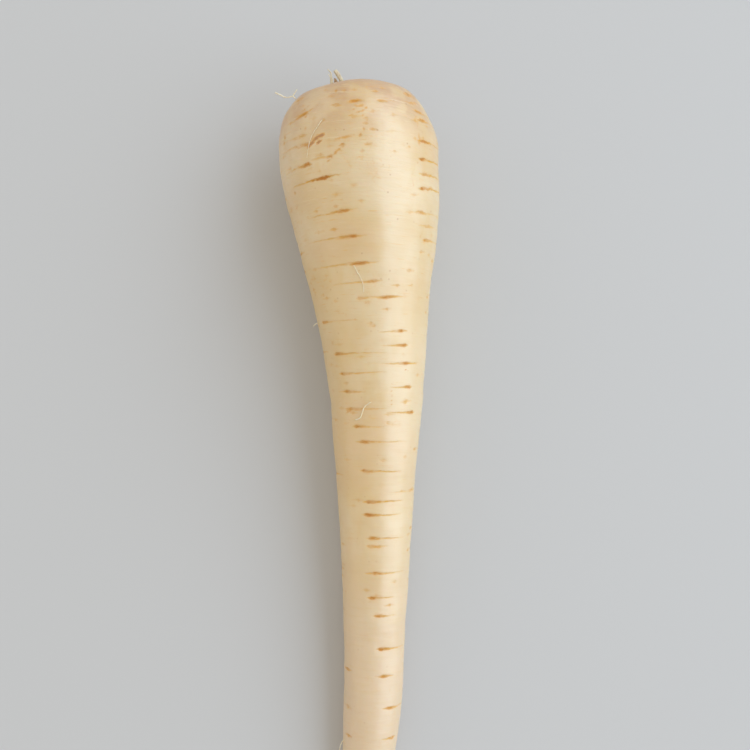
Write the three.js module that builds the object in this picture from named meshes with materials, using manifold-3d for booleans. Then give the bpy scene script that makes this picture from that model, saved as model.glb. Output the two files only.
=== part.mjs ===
/*
 * A parsnip, lying on its side as it rests on a table.
 *
 * The taproot grew as one piece and is one solid. The dried stumps of its leaf stalks stand in the
 * hollow of its crown, and a few fine rootlets grow out of its skin.
 *
 * Millimetres, +Z up. +Y runs from the tail to the crown and +X across it. The taproot rests on Z = 0,
 * and the origin is the middle of the bottom of the whole object's box.
 *
 * A place on the skin is given by its station, the distance from the rim of the crown towards the tail,
 * and by its angle about the axis in degrees: 0 faces +X, 90 faces up and 180 faces -X.
 */
import * as THREE from "three";
import { mergeVertices } from "three/addons/utils/BufferGeometryUtils.js";
import Module from "manifold-3d";

// Driving dimensions of the taproot.
const CROWN_RADIUS = 30.5; // at the widest part of the shoulder
const ROOT_LENGTH = 350; // from the rim of the crown to the tip of the tail
const HEIGHT_TO_WIDTH = 0.975; // a section is slightly wider than it is high
const LOBE_SHARE = 0.006; // how far three low lobes rise, as a share of the radius
const LOBE_COUNT = 3;
const LOBE_PHASE = 1; // radians by which the first lobe is turned from +X at the rim
const LOBE_TWIST = 40; // millimetres of length for each radian that the lobes wind round

// The outline from the growing point in the hollow, over the rim, to the tip of the tail. Each row is
// [percent of the length below the rim, percent of the crown's radius].
const TAPER = [
  [0.9, 0],
  [1.0, 5],
  [1.45, 9],
  [1.5, 14],
  [1.15, 26],
  [0.3, 38.5],
  [0, 55],
  [0.5, 71],
  [1.6, 83.5],
  [3.1, 93],
  [5.4, 99.5],
  [8.3, 100],
  [11.7, 96],
  [15.4, 89],
  [19.4, 80.5],
  [23.4, 72.5],
  [28, 65],
  [33, 58.5],
  [39, 53],
  [45, 47.5],
  [52, 42.5],
  [59, 38.5],
  [66, 37],
  [74, 31.5],
  [79, 26],
  [84, 19.5],
  [88.5, 14],
  [92.5, 9.8],
  [96.5, 6.6],
  [99.5, 4.4],
  [100, 0],
];
const RINGS = 88;
const SIDES = 42;

// The slightly bent axis, as [across, height] at equal steps of the length from the crown to the tail.
const AXIS = [
  [-7.4, 31.4],
  [-6.0, 29.2],
  [-3.3, 27.0],
  [-1.5, 24.8],
  [0.1, 22.5],
  [0.6, 20.3],
  [0.3, 18.1],
  [0.1, 15.9],
  [-0.2, 13.6],
  [-0.7, 11.4],
  [-2.2, 9.3],
  [-4.4, 7.4],
  [-6.4, 5.6],
  [-7.6, 4.1],
  [-7.0, 3.0],
];
const AXIS_STEP = ROOT_LENGTH / (AXIS.length - 1);

const STRIP_STEPS = 10; // rings along a stalk or rootlet
const STRIP_SIDES = 8;
const ROOTLET_RADIUS = 0.26; // where it leaves the skin
const ROOTLET_TIP = 0.14;
const SKIN_GAP = 0.35; // clearance between the skin and what grows out of it
const HOLLOW_FLOOR = -3.6; // where the stumps stand, measured out from the rim
const LYING = SKIN_GAP + ROOTLET_RADIUS; // height over the skin of a rootlet that lies along it

const ACROSS = new THREE.Vector3(1, 0, 0);

const wasm = await Module();
wasm.setup();

// --- Shapes carried along a curve ------------------------------------------------------------------

/** The frame of the section at share t of a curve: its centre, its sideways axis and its lift axis. */
function sectionFrame(curve, t) {
  const along = curve.getTangent(t);
  const side = ACROSS.clone().addScaledVector(along, -ACROSS.dot(along)).normalize();
  const lift = new THREE.Vector3().crossVectors(along, side);
  return { centre: curve.getPoint(t), side, lift, along };
}

/** The point of a section at the given distances along its two axes. */
function placeIn(frame, sideways, upwards) {
  return frame.centre
    .clone()
    .addScaledVector(frame.side, sideways)
    .addScaledVector(frame.lift, upwards);
}

/**
 * Turns an outline of (radius, distance) points about a straight axis and bends the body onto a curve.
 * section(radius, angle, t) says where a point of the round section goes.
 */
function bodyAlong(curve, outline, sides, section) {
  const length = outline[outline.length - 1].y;
  const body = new THREE.LatheGeometry(outline, sides);
  const position = body.getAttribute("position");
  const vertex = new THREE.Vector3();
  for (let i = 0; i < position.count; i++) {
    vertex.fromBufferAttribute(position, i);
    const t = THREE.MathUtils.clamp(vertex.y / length, 0, 1);
    const radius = Math.hypot(vertex.x, vertex.z);
    const angle = Math.atan2(-vertex.z, vertex.x);
    const placed = placeIn(sectionFrame(curve, t), ...section(radius, angle, t));
    position.setXYZ(i, placed.x, placed.y, placed.z);
  }
  body.computeVertexNormals();
  return body;
}

/** A smooth curve through points, with equal shares of the curve between them. */
function smoothCurve(points) {
  return new THREE.CatmullRomCurve3(points, false, "catmullrom", 0.5);
}

/** The outline of a strip whose radius runs evenly from its foot to its tip, with flat ends. */
function stripOutline(foot, tip, length) {
  const outline = [new THREE.Vector2(0, 0)];
  for (let i = 0; i <= STRIP_STEPS; i++) {
    const t = i / STRIP_STEPS;
    outline.push(new THREE.Vector2(THREE.MathUtils.lerp(foot, tip, t), t * length));
  }
  outline.push(new THREE.Vector2(0, length));
  return outline;
}

/** A round, tapering rootlet through the given points. */
function rootlet(points, foot = ROOTLET_RADIUS, tip = ROOTLET_TIP) {
  const curve = smoothCurve(points);
  const round = (radius, angle) => [radius * Math.cos(angle), radius * Math.sin(angle)];
  return bodyAlong(curve, stripOutline(foot, tip, curve.getLength()), STRIP_SIDES, round);
}

/** A flat strip of dried leaf stalk through the given points, its sides curled round by cup. */
function stalk(points, { foot, tip, flatness, cup }) {
  const curve = smoothCurve(points);
  const curled = (radius, angle) => {
    const sideways = radius * Math.cos(angle);
    return [sideways, flatness * radius * Math.sin(angle) + cup * sideways * sideways];
  };
  return bodyAlong(curve, stripOutline(foot, tip, curve.getLength()), STRIP_SIDES, curled);
}

// --- Solids ----------------------------------------------------------------------------------------

/** A closed geometry as a manifold solid. */
function toSolid(geometry) {
  const bare = geometry.clone();
  bare.deleteAttribute("normal");
  bare.deleteAttribute("uv");
  const merged = mergeVertices(bare);
  const vertProperties = new Float32Array(merged.getAttribute("position").array);
  const triVerts = new Uint32Array(merged.index.array);
  return new wasm.Manifold(new wasm.Mesh({ numProp: 3, vertProperties, triVerts }));
}

/** Geometries that grow out of each other, joined in one. */
function joined(...geometries) {
  const mesh = geometries
    .map(toSolid)
    .reduce((whole, branch) => whole.add(branch))
    .getMesh();
  const geometry = new THREE.BufferGeometry();
  geometry.setAttribute("position", new THREE.BufferAttribute(mesh.vertProperties, 3));
  geometry.setIndex(new THREE.BufferAttribute(mesh.triVerts, 1));
  geometry.computeVertexNormals();
  return geometry;
}

// --- The taproot -----------------------------------------------------------------------------------

const axis = smoothCurve(
  AXIS.map(([across, height], i) => new THREE.Vector3(across, -i * AXIS_STEP, height)),
);
const taper = new THREE.SplineCurve(
  TAPER.map(
    ([down, out]) =>
      new THREE.Vector2((out * CROWN_RADIUS) / 100, (down * ROOT_LENGTH) / 100),
  ),
).getPoints(RINGS);

/** A round section of the taproot made oval, with its low lobes. */
function rootSection(radius, angle, t) {
  const winding = LOBE_PHASE + (t * ROOT_LENGTH) / LOBE_TWIST;
  const lobes = Math.cos(LOBE_COUNT * angle + winding);
  const grown = radius * (1 + LOBE_SHARE * lobes);
  return [grown * Math.cos(angle), HEIGHT_TO_WIDTH * grown * Math.sin(angle)];
}

/** The taproot, pressed flat where it bears on the table. */
function taproot() {
  const body = bodyAlong(axis, taper, SIDES, rootSection);
  const position = body.getAttribute("position");
  for (let i = 0; i < position.count; i++) {
    position.setZ(i, Math.max(position.getZ(i), 0));
  }
  body.computeVertexNormals();
  return body;
}

/** The radius of the skin at a station below the rim. */
function skinRadius(station) {
  const rim = taper.reduce((best, point, i) => (point.y < taper[best].y ? i : best), 0);
  const next = taper.findIndex((point, i) => i > rim && point.y >= station);
  const [near, far] = [taper[next - 1], taper[next]];
  return THREE.MathUtils.mapLinear(station, near.y, far.y, near.x, far.x);
}

/** A point over the skin, square to the axis. */
function skinPoint(station, degrees, height) {
  const t = station / ROOT_LENGTH;
  const radius = skinRadius(station) + height;
  return placeIn(
    sectionFrame(axis, t),
    ...rootSection(radius, THREE.MathUtils.degToRad(degrees), t),
  );
}

/** A point near the crown: sideways and up from the axis, and out beyond the rim. */
function crownPoint([sideways, upwards, out]) {
  const frame = sectionFrame(axis, 0);
  return placeIn(frame, sideways, upwards).addScaledVector(frame.along, -out);
}

/** A rootlet that lies along the skin through places given as [station, degrees]. */
function lyingRootlet(...places) {
  return rootlet(places.map(([station, degrees]) => skinPoint(station, degrees, LYING)));
}

/** A rootlet that stands off the skin through places given as [station, degrees, height]. */
function standingRootlet(...places) {
  return rootlet(places.map((place) => skinPoint(...place)));
}

// --- Dried leaf stalks in the hollow of the crown, as [sideways, up, out] from the rim's centre ------

const STRAP = { foot: 0.85, tip: 0.62, flatness: 0.45, cup: 0.25 };
const PRONG = { foot: 0.3, tip: 0.16, flatness: 0.8, cup: 0 };
const FLAP = { foot: 1.2, tip: 0.3, flatness: 0.3, cup: 0.1 };
const STUMP = { foot: 1.6, tip: 1.2, flatness: 0.4, cup: 0.15 };

function strapStalk() {
  const route = [
    [-3.4, 6.0, -3.3],
    [-4.3, 7.3, -0.2],
    [-4.8, 8.1, 2.3],
    [-6.0, 8.5, 4.9],
    [-7.2, 8.8, 6.8],
  ];
  return stalk(route.map(crownPoint), STRAP);
}

function forkedStalk() {
  const stem = [
    [-6.6, 6.2, -1.7],
    [-8.0, 7.5, 0.4],
    [-8.7, 8.2, 2.1],
    [-8.8, 8.2, 3.6],
    [-8.9, 8.4, 4.8],
  ];
  const longProng = [
    [-8.9, 8.3, 4.2],
    [-8.8, 8.6, 5.8],
    [-9.3, 8.7, 6.6],
    [-10.0, 8.7, 7.4],
  ];
  const shortProng = [
    [-9.0, 8.3, 4.0],
    [-9.3, 8.4, 4.9],
    [-9.9, 8.5, 5.7],
  ];
  return joined(
    stalk(stem.map(crownPoint), { ...STRAP, foot: 0.7, tip: 0.45 }),
    stalk(longProng.map(crownPoint), PRONG),
    stalk(shortProng.map(crownPoint), PRONG),
  );
}

function flapStalk() {
  const route = [
    [-6.3, 8.2, -0.6],
    [-6.7, 9.2, 0.6],
    [-7.1, 9.9, 2.0],
    [-7.4, 10.3, 3.2],
  ];
  return stalk(route.map(crownPoint), FLAP);
}

/** A short stump on the floor of the hollow, leaning out towards the rim by the given share. */
function stump(sideways, upwards, height, lean) {
  const route = [0, 0.5, 1].map((t) => [
    sideways * (1 + lean * t),
    upwards * (1 + lean * t),
    HOLLOW_FLOOR + height * t,
  ]);
  return stalk(route.map(crownPoint), STUMP);
}

// --- The object ------------------------------------------------------------------------------------

const skinMaterial = new THREE.MeshStandardMaterial({
  color: 0xead8b4,
  roughness: 0.42,
  metalness: 0,
});
const driedStalkMaterial = new THREE.MeshStandardMaterial({
  color: 0xcdbf98,
  roughness: 0.8,
  metalness: 0,
});
const rootletMaterial = new THREE.MeshStandardMaterial({
  color: 0xdacfae,
  roughness: 0.65,
  metalness: 0,
});

const parsnip = new THREE.Group();

function add(name, geometry, material) {
  const mesh = new THREE.Mesh(geometry, material);
  mesh.name = name;
  parsnip.add(mesh);
}

add("taproot", taproot(), skinMaterial);

add("leaf_stalk_strap", strapStalk(), driedStalkMaterial);
add("leaf_stalk_forked", forkedStalk(), driedStalkMaterial);
add("leaf_stalk_flap", flapStalk(), driedStalkMaterial);
// Stumps round the growing point, each as [sideways, up, height, lean].
const stumps = [
  [4.4, 3.6, 3.4, 0.25],
  [3.2, -4.6, 2.8, 0.2],
  [-4.6, -3.4, 3.8, 0.12],
];
stumps.forEach((place, i) =>
  add(`leaf_stalk_stump_${i + 1}`, stump(...place), driedStalkMaterial),
);

// The rootlet on the shoulder forks just off the skin.
const shoulderFoot = [-22.6, 10.9, -3.6];
const shoulderFork = [-23.4, 10.7, -2.5];
const upperBranch = [shoulderFoot, shoulderFork, [-22.7, 10.8, -1.4], [-21.8, 10.9, -0.2]];
const outerBranch = [
  shoulderFork,
  [-25.3, 10.7, -2.9],
  [-26.8, 10.7, -2.7],
  [-28.1, 10.7, -1.9],
  [-30.1, 10.7, -0.9],
];
add(
  "rootlet_shoulder",
  joined(rootlet(upperBranch.map(crownPoint)), rootlet(outerBranch.map(crownPoint))),
  rootletMaterial,
);
add(
  "rootlet_flank",
  lyingRootlet([16.5, 112], [20.1, 118.5], [24.6, 124.5], [28.8, 126.5]),
  rootletMaterial,
);
add("rootlet_upper", lyingRootlet([68.3, 103], [72.8, 98], [77.4, 96]), rootletMaterial);
add("rootlet_middle", lyingRootlet([124.5, 116], [121, 106.5], [117.7, 96.5]), rootletMaterial);
add(
  "rootlet_side",
  standingRootlet([86.6, 168, LYING], [87.2, 170, 1.3], [88.5, 171, 1.8]),
  rootletMaterial,
);
add(
  "rootlet_lower",
  standingRootlet([247.5, 166, LYING], [250, 170, 0.9], [253, 172, 1.6]),
  rootletMaterial,
);

// The origin goes to the middle of the bottom of the box.
const box = new THREE.Box3().setFromObject(parsnip);
const middle = box.getCenter(new THREE.Vector3());
for (const mesh of parsnip.children) {
  mesh.position.set(-middle.x, -middle.y, 0);
}

export default parsnip;
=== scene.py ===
"""
A parsnip lying on its side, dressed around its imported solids.

The taproot, its dried leaf stalks and its rootlets are surfaces worked out with numpy on grids of two
parameters. Shapes are worked out in millimetres and go into the meshes in metres.

A place on the skin is given by its station, the millimetres from the rim of the crown towards the tail,
and by its angle about the axis in degrees: 0 faces +X, 90 faces up and 180 faces -X.
"""
import math

import bmesh
import bpy
import numpy as np
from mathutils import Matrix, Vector


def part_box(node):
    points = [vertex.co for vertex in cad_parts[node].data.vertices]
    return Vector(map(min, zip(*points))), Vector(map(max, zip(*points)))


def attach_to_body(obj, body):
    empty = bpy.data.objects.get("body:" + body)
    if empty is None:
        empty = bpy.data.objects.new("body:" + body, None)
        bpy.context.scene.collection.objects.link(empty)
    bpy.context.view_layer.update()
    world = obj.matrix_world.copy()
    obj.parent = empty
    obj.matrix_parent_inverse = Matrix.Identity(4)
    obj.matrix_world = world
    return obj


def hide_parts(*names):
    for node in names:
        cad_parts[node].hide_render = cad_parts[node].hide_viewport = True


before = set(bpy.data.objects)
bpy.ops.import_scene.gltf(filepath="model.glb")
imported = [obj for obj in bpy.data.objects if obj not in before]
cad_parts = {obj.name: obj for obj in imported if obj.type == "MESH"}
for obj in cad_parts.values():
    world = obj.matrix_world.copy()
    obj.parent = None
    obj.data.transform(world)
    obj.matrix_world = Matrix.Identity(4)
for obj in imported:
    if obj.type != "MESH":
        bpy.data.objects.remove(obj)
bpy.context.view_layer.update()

MM = 0.001

# --- The taproot's driving dimensions, the same as its solid's ---

CROWN_RADIUS = 30.5
ROOT_LENGTH = 350.0
HEIGHT_TO_WIDTH = 0.975
LOBE_SHARE = 0.006
LOBE_COUNT = 3
LOBE_PHASE = 1.0
LOBE_TWIST = 40.0

# From the growing point in the hollow, over the rim, to the tip of the tail: percent of the length below
# the rim, percent of the crown's radius.
TAPER = [
    (0.9, 0), (1.0, 5), (1.45, 9), (1.5, 14), (1.15, 26), (0.3, 38.5), (0, 55), (0.5, 71),
    (1.6, 83.5), (3.1, 93), (5.4, 99.5), (8.3, 100), (11.7, 96), (15.4, 89), (19.4, 80.5),
    (23.4, 72.5), (28, 65), (33, 58.5), (39, 53), (45, 47.5), (52, 42.5), (59, 38.5), (66, 37),
    (74, 31.5), (79, 26), (84, 19.5), (88.5, 14), (92.5, 9.8), (96.5, 6.6), (99.5, 4.4), (100, 0),
]

# The slightly bent axis at equal steps of the length, from the crown to the tail: across, height.
AXIS = [
    (-7.4, 31.4), (-6.0, 29.2), (-3.3, 27.0), (-1.5, 24.8), (0.1, 22.5), (0.6, 20.3), (0.3, 18.1),
    (0.1, 15.9), (-0.2, 13.6), (-0.7, 11.4), (-2.2, 9.3), (-4.4, 7.4), (-6.4, 5.6), (-7.6, 4.1),
    (-7.0, 3.0),
]
AXIS_STEP = ROOT_LENGTH / (len(AXIS) - 1)

RINGS = 780  # rows of the skin's grid along the root
SIDES = 126  # and its columns round it

# --- Curves ---


def smooth_curve(points, steps, mirrored=True):
    """
    The uniform Catmull-Rom curve through points, at the given numbers of steps from the first point, and
    its slope per step. Between points p1 and p2, at share w, it is the cubic that has slope (p2 - p0) / 2
    at p1 and (p3 - p1) / 2 at p2. Past its ends the row of points is mirrored, or its end is repeated.
    """
    points = np.asarray(points, float)
    if mirrored:
        ends = 2 * points[0] - points[1], 2 * points[-1] - points[-2]
    else:
        ends = points[0], points[-1]
    row = np.concatenate([[ends[0]], points, [ends[1]]])
    steps = np.clip(np.asarray(steps, float), 0, len(points) - 1)
    first = np.minimum(steps.astype(int), len(points) - 2)
    w = (steps - first)[..., None]
    p0, p1, p2, p3 = (row[first + i] for i in range(4))
    slope_1, slope_2 = (p2 - p0) / 2, (p3 - p1) / 2
    cubic = 2 * p1 - 2 * p2 + slope_1 + slope_2
    square = -3 * p1 + 3 * p2 - 2 * slope_1 - slope_2
    place = ((cubic * w + square) * w + slope_1) * w + p1
    slope = (3 * cubic * w + 2 * square) * w + slope_1
    return place, slope


def unit(vectors):
    """Vectors at length 1; a vector of no length stays so."""
    length = np.linalg.norm(vectors, axis=-1, keepdims=True)
    return vectors / np.where(length == 0, 1, length)


def cross_axes(along):
    """Two axes square to a direction: sideways, which is X made square to it, and lift, square to both."""
    along = unit(along)
    side = unit(np.array([1.0, 0, 0]) - along * along[..., :1])
    return side, np.cross(along, side)


def root_axis(station):
    """Centre, sideways axis, lift axis and direction of the root's section at a station."""
    line = [(across, -i * AXIS_STEP, height) for i, (across, height) in enumerate(AXIS)]
    centre, slope = smooth_curve(line, np.asarray(station, float) / AXIS_STEP)
    return centre, *cross_axes(slope), unit(slope)


def root_profile(count):
    """Evenly spaced stations and radii of the outline, from growing point to tail, and the rim's number."""
    outline = [(down * ROOT_LENGTH / 100, out * CROWN_RADIUS / 100) for down, out in TAPER]
    fine, _ = smooth_curve(outline, np.linspace(0, len(TAPER) - 1, 20 * count), mirrored=False)
    fine[:, 1] = np.maximum(fine[:, 1], 0)
    reach = np.concatenate([[0], np.cumsum(np.linalg.norm(np.diff(fine, axis=0), axis=1))])
    even = np.linspace(0, reach[-1], count)
    stations = np.interp(even, reach, fine[:, 0])
    return stations, np.interp(even, reach, fine[:, 1]), int(np.argmin(stations))


def root_section(station, angle, radius):
    """
    The root's skin: centre + side * g cos(angle) + lift * 0.975 g sin(angle), where the grown radius g is
    the radius with three low lobes that wind along the length.
    """
    lobes = np.cos(LOBE_COUNT * angle + LOBE_PHASE + station / LOBE_TWIST)
    grown = radius * (1 + LOBE_SHARE * lobes)
    centre, side, lift, _ = root_axis(station)
    across = (grown * np.cos(angle))[..., None] * side
    upwards = (HEIGHT_TO_WIDTH * grown * np.sin(angle))[..., None] * lift
    return centre + across + upwards


# --- Grids made into pieces ---


def grid_normals(points):
    """Outward unit normals of a grid whose rows go along a body and whose columns go round it."""
    down = np.gradient(points, axis=0)
    round_ = np.roll(points, -1, axis=1) - np.roll(points, 1, axis=1)
    return unit(np.cross(round_, down))


def in_mesh_order(grid):
    """A grid's values in the order of its mesh's points: the first row's mean, the rows, the last's mean."""
    inner = grid[1:-1].reshape(-1, *grid.shape[2:])
    return np.concatenate([[grid[0].mean(0)], inner, [grid[-1].mean(0)]])


def closed_mesh(name, points):
    """
    A closed mesh of a grid of millimetre points, shaped (rows, columns, 3). Columns wrap round from the
    sideways axis to the lift axis, and the first and last rows each shrink to their one middle point.
    """
    rows, columns = points.shape[:2]
    vertices = in_mesh_order(points) * MM
    number = 1 + np.arange((rows - 2) * columns).reshape(rows - 2, columns)
    beside = np.roll(number, -1, axis=1)
    quads = np.stack([number[:-1], beside[:-1], beside[1:], number[1:]], -1).reshape(-1, 4)
    last = len(vertices) - 1
    first_fan = np.stack([np.zeros(columns, int), beside[0], number[0]], -1)
    last_fan = np.stack([np.full(columns, last), number[-1], beside[-1]], -1)
    corners = np.concatenate([quads.ravel(), first_fan.ravel(), last_fan.ravel()])
    sizes = np.concatenate([np.full(len(quads), 4), np.full(2 * columns, 3)])
    mesh = bpy.data.meshes.new(name)
    mesh.vertices.add(len(vertices))
    mesh.vertices.foreach_set("co", vertices.astype(np.float32).ravel())
    mesh.loops.add(len(corners))
    mesh.loops.foreach_set("vertex_index", corners.astype(np.int32))
    mesh.polygons.add(len(sizes))
    mesh.polygons.foreach_set("loop_start", (np.cumsum(sizes) - sizes).astype(np.int32))
    mesh.polygons.foreach_set("use_smooth", np.ones(len(sizes), bool))
    mesh.update(calc_edges=True)
    return mesh


def attach(mesh, name, field):
    """Stores a field of a closed mesh's grid, of one or three numbers a point, as a point attribute."""
    wide = field.ndim == 3
    attribute = mesh.attributes.new(name, "FLOAT_VECTOR" if wide else "FLOAT", "POINT")
    values = in_mesh_order(field).astype(np.float32).ravel()
    attribute.data.foreach_set("vector" if wide else "value", values)


def add_object(name, data):
    """A new object in the scene."""
    thing = bpy.data.objects.new(name, data)
    bpy.context.scene.collection.objects.link(thing)
    return thing


def place_piece(mesh, material, node):
    """Puts a mesh in the scene on the root's body, with its finish and the CAD node that it stands for."""
    piece = add_object(mesh.name, mesh)
    mesh.materials.append(material)
    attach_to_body(piece, "root")
    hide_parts(node)


# --- Random relief ---

LATTICE_LEAD = 50  # millimetres of random relief before the rim, for the hollow


def rolling(seed, station, angle, length, turns):
    """
    Smooth random heights from -1 to 1 on the skin: a lattice of random numbers, with one row for each
    length of station and turns numbers round the root, joined by weights w * w * (3 - 2 w).
    """
    random = np.random.default_rng(seed)
    down = np.clip(station, -LATTICE_LEAD, ROOT_LENGTH) / length + LATTICE_LEAD / length
    rows = int((ROOT_LENGTH + LATTICE_LEAD) / length) + 3
    lattice = random.uniform(-1, 1, (rows, turns))
    round_ = (angle / (2 * np.pi) % 1) * turns
    i, j = np.floor(down).astype(int), np.floor(round_).astype(int)
    u, v = down - i, round_ - j
    u, v = u * u * (3 - 2 * u), v * v * (3 - 2 * v)
    j0, j1 = j % turns, (j + 1) % turns
    near = lattice[i, j0] * (1 - v) + lattice[i, j1] * v
    far = lattice[i + 1, j0] * (1 - v) + lattice[i + 1, j1] * v
    return near * (1 - u) + far * u


def layered(layers, station, angle):
    """The sum of several layers of rolling relief, each times its height."""
    return sum(
        height * rolling(seed, station, angle, length, turns) for seed, height, length, turns in layers
    )


# --- Pore marks ---

# The thin corky marks where rootlets left the skin. Each is (station, angle of its eye, reach towards
# rising angles, reach towards falling angles, strength, half length of its dark eye), in millimetres.
PORES = [
    # On the crown: left, middle and right.
    (6, 145, 5, 4, 0.3, 1.5), (7.5, 109, 3, 3, 0.35, 1.5), (5.8, 106, 0.9, 0.9, 0.7, 0.8),
    (12.8, 131, 6, 4, 0.55, 2.4), (20.4, 132, 12, 4, 0.5, 2.2), (23.6, 127, 19, 1, 0.6, 2.6),
    (26.3, 100, 2.2, 1.2, 0.9, 0.8), (27.8, 103.5, 1.5, 1.8, 0.4, 1.2), (29.3, 109, 9, 1.6, 0.8, 0.9),
    (30.2, 128, 15, 2, 0.9, 1.8), (35.9, 117, 19, 7, 1.15, 2.8), (38.2, 148, 1.4, 1.4, 0.4, 0.9),
    (18, 128, 0.9, 0.9, 0.35, 0.8), (16.3, 113, 0.8, 0.8, 0.35, 0.7), (33.5, 119, 0.6, 0.6, 0.35, 0.6),
    (40.1, 96, 1.8, 1.8, 0.45, 1.2),
    (10.4, 90, 3.6, 3.2, 1.1, 1.8), (11.4, 105, 1.8, 2.5, 0.8, 1), (10.3, 72, 1.4, 6, 0.6, 1.2),
    (16.4, 93, 0.8, 4.5, 0.4, 0.7), (17.3, 84, 1.4, 1.2, 0.5, 1), (19.1, 84, 1.8, 1, 0.55, 1),
    (21.4, 86, 0.9, 0.9, 0.5, 0.8), (21.6, 80, 1.4, 1.8, 0.55, 1), (23.3, 88, 1.3, 1, 0.9, 1),
    (23.6, 98, 2.8, 2.4, 0.35, 1.2), (24.4, 78, 2, 3.6, 0.45, 1.4), (26.6, 84, 1.6, 2, 0.55, 1.2),
    (29, 88, 1.1, 1.1, 0.45, 1), (31.2, 88, 0.8, 0.8, 0.35, 0.7), (22.2, 67, 2.6, 2.2, 0.25, 1.2),
    (12.2, 38, 3.4, 12, 0.8, 1.8), (15.7, 37, 3.6, 14, 0.9, 2), (24.6, 39, 3.6, 19, 1.1, 2),
    (31.8, 41.5, 2, 22, 1.2, 1.6), (37.3, 40, 3, 20, 1, 1.8), (42.3, 42, 2.4, 22, 1.2, 2.2),
    (50.5, 46, 6, 18, 0.7, 1.6), (54.8, 36, 5, 14, 0.55, 1.6), (59.8, 36, 2.2, 14, 0.75, 1.6),
    (66.5, 17, 1.5, 5, 0.5, 1),
    # The two rows down the root.
    (48.6, 105, 18, 5, 0.85, 2.2), (57.9, 101, 20, 5, 0.9, 2.8), (67.5, 96, 22, 6, 0.95, 2.8),
    (70.6, 152, 4, 3, 0.4, 1.2), (74.1, 86, 17, 3, 0.85, 1.3), (79.7, 102, 1.4, 9, 0.75, 1.2),
    (87, 153, 1, 18, 0.75, 1.4), (99.4, 138, 1.6, 21, 0.85, 1.7), (107.1, 132, 2, 18, 0.85, 1.6),
    (113.9, 128, 3, 8, 0.85, 2), (120.4, 123, 3.2, 14, 0.85, 2.2), (126.9, 117, 1.8, 11, 0.85, 1.5),
    (132.6, 108, 3.4, 18, 0.85, 1.8), (143.4, 107, 1.8, 15, 1.1, 1.7), (154.8, 100, 2.6, 14, 1.3, 1.6),
    (159.7, 104, 2, 14, 1.05, 1.7), (168.4, 98, 2, 14, 0.85, 1.6), (171.5, 98, 1.8, 7, 0.75, 1.5),
    (181.5, 90, 4.5, 13, 0.9, 1.5), (190.8, 96, 2, 9.5, 0.95, 1.6), (197.6, 87, 1.6, 9, 0.85, 1.4),
    (210.2, 79, 1.8, 13, 0.95, 1.4), (220.4, 72, 3.4, 5, 0.85, 1.4), (232.6, 56, 3, 10, 0.85, 1.4),
    (244.2, 36, 6, 2, 0.9, 1.2),
    (70.8, 53, 1.8, 2.6, 0.55, 1.2), (80, 76, 6, 7, 0.9, 1.9), (92.3, 61, 9, 3, 0.95, 1.5),
    (97.4, 56, 10, 2, 0.9, 1.3), (103.9, 56, 10, 8, 0.95, 1.6), (112.5, 47, 9, 1.6, 0.85, 1.3),
    (121.9, 39, 12, 1.6, 0.9, 1.3), (135.5, 30, 1.2, 8, 0.5, 1), (138.1, 48, 1.2, 1.2, 0.35, 0.8),
    (151.2, 24, 12, 5, 0.5, 1.4), (165.9, 20, 1.2, 4, 0.5, 1), (173.9, 24, 1.4, 5, 0.6, 1),
    # Far left on the tail.
    (219.5, 149, 5, 3, 0.7, 1.3), (233.8, 148, 3, 3, 0.65, 1.2), (244.8, 143, 2.4, 2.4, 0.7, 1.2),
]

# Rows of pore marks round the parts of the root that face the table and down its tail, as (angle, first
# station, last station).
HIDDEN_ROWS = [
    (186, 14, 200), (214, 10, 330), (251, 12, 320), (286, 9, 330), (324, 14, 335), (352, 58, 210),
    (20, 252, 335), (75, 256, 338), (140, 252, 330),
]

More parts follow.
